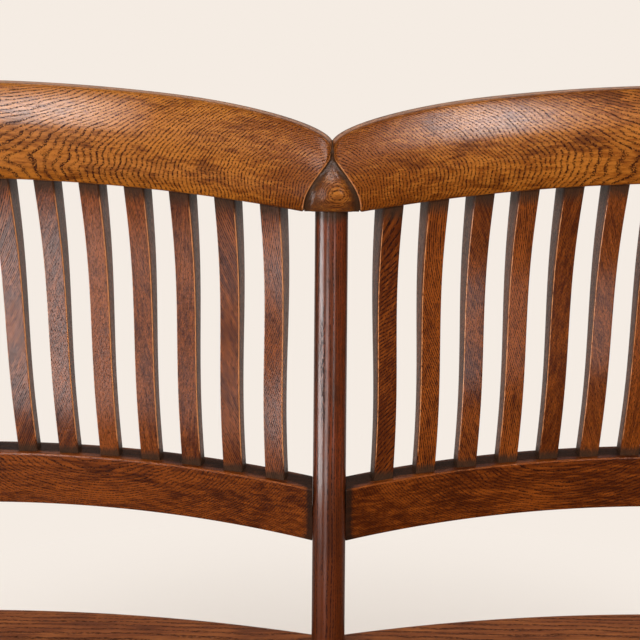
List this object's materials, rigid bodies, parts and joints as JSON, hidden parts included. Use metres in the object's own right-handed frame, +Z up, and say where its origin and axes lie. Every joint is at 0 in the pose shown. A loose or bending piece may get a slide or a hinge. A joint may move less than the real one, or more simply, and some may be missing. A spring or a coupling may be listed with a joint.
{
  "type": "chair-back settee",
  "caption": "Open-armed oak settee whose back is a pair of bowed, slatted chair backs meeting at a centre post, on turned legs with stretchers.",
  "frame": {"origin": "on the floor, under the middle of the whole settee", "axes": "+X along the seat to the sitter's left, seen from the front to the right; +Y from the seat's front edge towards the back; +Z up"},
  "size_m": [1.2182, 0.5099, 0.8624],
  "materials": {
    "crest_oak": "golden brown stained oak, waxed, worn arrises",
    "rail_oak": "dark brown stained oak, waxed, worn arrises",
    "slat_oak": "dark brown stained oak, waxed, worn arrises",
    "post_oak": "dark red-brown stained oak, polished",
    "seat_oak": "brown stained oak, waxed, worn by use",
    "turned_oak": "dark brown stained oak, polished turnings",
    "dowel_beech": "plain dowel rod, glued, out of sight"
  },
  "bodies": {
    "root": {"crest_rail_left": "crest_oak", "lower_rail_left": "rail_oak", "crest_rail_right": "crest_oak", "lower_rail_right": "rail_oak", "centre_post": "post_oak", "end_post_left": "post_oak", "end_post_right": "post_oak", "centre_block": "crest_oak", "slat_left_01": "slat_oak", "slat_left_02": "slat_oak", "slat_left_03": "slat_oak", "slat_left_04": "slat_oak", "slat_left_05": "slat_oak", "slat_left_06": "slat_oak", "slat_left_07": "slat_oak", "slat_left_08": "slat_oak", "slat_left_09": "slat_oak", "slat_left_10": "slat_oak", "slat_left_11": "slat_oak", "slat_left_12": "slat_oak", "slat_left_13": "slat_oak", "slat_left_14": "slat_oak", "slat_left_15": "slat_oak", "slat_right_01": "slat_oak", "slat_right_02": "slat_oak", "slat_right_03": "slat_oak", "slat_right_04": "slat_oak", "slat_right_05": "slat_oak", "slat_right_06": "slat_oak", "slat_right_07": "slat_oak", "slat_right_08": "slat_oak", "slat_right_09": "slat_oak", "slat_right_10": "slat_oak", "slat_right_11": "slat_oak", "slat_right_12": "slat_oak", "slat_right_13": "slat_oak", "slat_right_14": "slat_oak", "slat_right_15": "slat_oak", "seat_board_front": "seat_oak", "seat_board_middle": "seat_oak", "seat_board_back": "seat_oak", "arm_left": "seat_oak", "arm_right": "seat_oak", "arm_support_left": "turned_oak", "arm_support_right": "turned_oak", "arm_spindles_left": "turned_oak", "arm_spindles_right": "turned_oak", "leg_front_left": "turned_oak", "leg_front_centre": "turned_oak", "leg_front_right": "turned_oak", "leg_back_left": "turned_oak", "leg_back_centre": "turned_oak", "leg_back_right": "turned_oak", "side_stretcher_left": "turned_oak", "side_stretcher_centre": "turned_oak", "side_stretcher_right": "turned_oak", "cross_stretcher_left": "turned_oak", "cross_stretcher_right": "turned_oak", "joint_dowels": "dowel_beech"}
  },
  "joints": []
}
